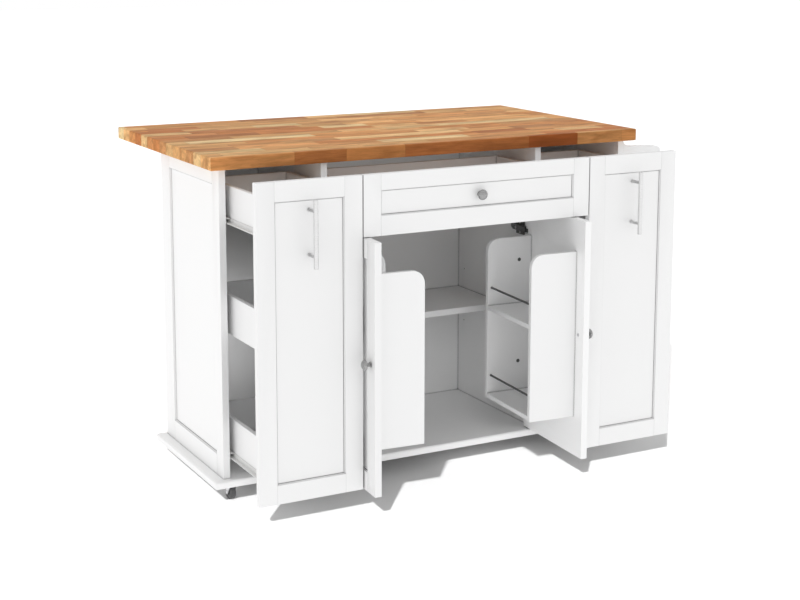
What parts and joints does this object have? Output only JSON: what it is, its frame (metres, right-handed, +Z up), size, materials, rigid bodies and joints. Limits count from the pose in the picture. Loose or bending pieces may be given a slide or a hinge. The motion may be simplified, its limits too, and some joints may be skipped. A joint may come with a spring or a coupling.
{
  "type": "drop leaf kitchen island",
  "caption": "Wheeled kitchen island with a wooden top and hinged drop leaf, pull-out tray towers at both ends, a wide drawer, and doors with racks on their insides.",
  "frame": {"origin": "middle of the base of the box that holds the island as stored, on the floor", "axes": "+X along the worktop's length towards the end rack, +Y from the fronts towards the drop leaf at the back, +Z up"},
  "size_m": [1.428, 1.0364, 0.93],
  "materials": {
    "white_boards": "satin white paint on board",
    "butcher_block": "oiled finger-jointed staves",
    "brushed_nickel": "brushed nickel",
    "zinc_steel": "zinc plated",
    "runner_steel": "light grey powder coat",
    "dark_steel": "dark satin",
    "caster_steel": "zinc plated",
    "caster_wheel": "black rubber"
  },
  "bodies": {
    "cabinet": {"base_board": "white_boards", "left_side_panel": "white_boards", "right_side_panel": "white_boards", "left_divider": "white_boards", "right_divider": "white_boards", "back_panel": "white_boards", "top_rails": "white_boards", "shelf": "white_boards", "shelf_pins": "zinc_steel", "fixed_runners": "runner_steel", "door_hinge_arms": "dark_steel", "door_hinge_pins": "zinc_steel", "worktop": "butcher_block", "leaf_hinge_fixed_flaps": "zinc_steel", "leaf_hinge_pins": "zinc_steel", "bracket_hinge_fixed_flaps": "zinc_steel", "bracket_hinge_pins": "zinc_steel", "end_rack_sides": "white_boards", "end_rack_shelf": "white_boards", "end_rack_rail": "white_boards", "caster_plates": "zinc_steel"},
    "leaf": {"drop_leaf": "butcher_block", "leaf_hinge_moving_flaps": "zinc_steel"},
    "left_support": {"left_bracket": "white_boards"},
    "right_support": {"right_bracket": "white_boards"},
    "left_pullout": {"left_pullout_front": "white_boards", "left_pullout_handle": "brushed_nickel", "left_pullout_trays": "white_boards", "left_pullout_runners": "runner_steel"},
    "right_pullout": {"right_pullout_front": "white_boards", "right_pullout_handle": "brushed_nickel", "right_pullout_trays": "white_boards", "right_pullout_runners": "runner_steel"},
    "drawer": {"drawer_front": "white_boards", "drawer_knob": "brushed_nickel", "drawer_box": "white_boards", "drawer_bottom": "white_boards", "drawer_runners": "runner_steel"},
    "left_door_body": {"left_door": "white_boards", "left_door_knob": "brushed_nickel", "left_rack_sides": "white_boards", "left_rack_shelves": "white_boards", "left_rack_rods": "dark_steel"},
    "right_door_body": {"right_door": "white_boards", "right_door_knob": "brushed_nickel", "right_rack_sides": "white_boards", "right_rack_shelves": "white_boards", "right_rack_rods": "dark_steel"},
    "front_left_swivel": {"front_left_fork": "caster_steel"},
    "front_left_roller": {"front_left_wheel": "caster_wheel"},
    "front_right_swivel": {"front_right_fork": "caster_steel"},
    "front_right_roller": {"front_right_wheel": "caster_wheel"},
    "rear_left_swivel": {"rear_left_fork": "caster_steel"},
    "rear_left_roller": {"rear_left_wheel": "caster_wheel"},
    "rear_right_swivel": {"rear_right_fork": "caster_steel"},
    "rear_right_roller": {"rear_right_wheel": "caster_wheel"}
  },
  "joints": [
    {"name": "leaf_drop", "type": "hinge", "parent": "cabinet", "child": "leaf", "pos_m": [-0.054, 0.25962, 0.8919], "axis": [1, 0, 0], "range_deg": [-90, 0]},
    {"name": "left_bracket_swing", "type": "hinge", "parent": "cabinet", "child": "left_support", "pos_m": [-0.6632, 0.23622, 0.81], "axis": [0, 0, 1], "range_deg": [0, 90]},
    {"name": "right_bracket_swing", "type": "hinge", "parent": "cabinet", "child": "right_support", "pos_m": [0.5552, 0.23622, 0.81], "axis": [0, 0, -1], "range_deg": [0, 90]},
    {"name": "left_pullout_slide", "type": "slide", "parent": "cabinet", "child": "left_pullout", "axis": [0, -1, 0], "range_m": [-0.223, 0.024]},
    {"name": "right_pullout_slide", "type": "slide", "parent": "cabinet", "child": "right_pullout", "axis": [0, -1, 0], "range_m": [-0.223, 0.024]},
    {"name": "drawer_slide", "type": "slide", "parent": "cabinet", "child": "drawer", "axis": [0, -1, 0], "range_m": [-0.223, 0.08]},
    {"name": "left_door_swing", "type": "hinge", "parent": "cabinet", "child": "left_door_body", "pos_m": [-0.373, -0.20037, 0.404], "axis": [0, 0, -1], "range_deg": [-94, 0]},
    {"name": "right_door_swing", "type": "hinge", "parent": "cabinet", "child": "right_door_body", "pos_m": [0.265, -0.20037, 0.404], "axis": [0, 0, 1], "range_deg": [-86, 8]},
    {"name": "front_left_swivel_turn", "type": "hinge", "parent": "cabinet", "child": "front_left_swivel", "pos_m": [-0.647, -0.17087, 0.052], "axis": [0, 0, 1], "continuous": true},
    {"name": "front_left_wheel_spin", "type": "hinge", "parent": "front_left_swivel", "child": "front_left_roller", "pos_m": [-0.647, -0.15488, 0.02], "axis": [1, 0, 0], "continuous": true},
    {"name": "front_right_swivel_turn", "type": "hinge", "parent": "cabinet", "child": "front_right_swivel", "pos_m": [0.539, -0.17087, 0.052], "axis": [0, 0, 1], "continuous": true},
    {"name": "front_right_wheel_spin", "type": "hinge", "parent": "front_right_swivel", "child": "front_right_roller", "pos_m": [0.539, -0.15488, 0.02], "axis": [1, 0, 0], "continuous": true},
    {"name": "rear_left_swivel_turn", "type": "hinge", "parent": "cabinet", "child": "rear_left_swivel", "pos_m": [-0.647, 0.18413, 0.052], "axis": [0, 0, 1], "continuous": true},
    {"name": "rear_left_wheel_spin", "type": "hinge", "parent": "rear_left_swivel", "child": "rear_left_roller", "pos_m": [-0.647, 0.20012, 0.02], "axis": [1, 0, 0], "continuous": true},
    {"name": "rear_right_swivel_turn", "type": "hinge", "parent": "cabinet", "child": "rear_right_swivel", "pos_m": [0.539, 0.18413, 0.052], "axis": [0, 0, 1], "continuous": true},
    {"name": "rear_right_wheel_spin", "type": "hinge", "parent": "rear_right_swivel", "child": "rear_right_roller", "pos_m": [0.539, 0.20012, 0.02], "axis": [1, 0, 0], "continuous": true}
  ]
}
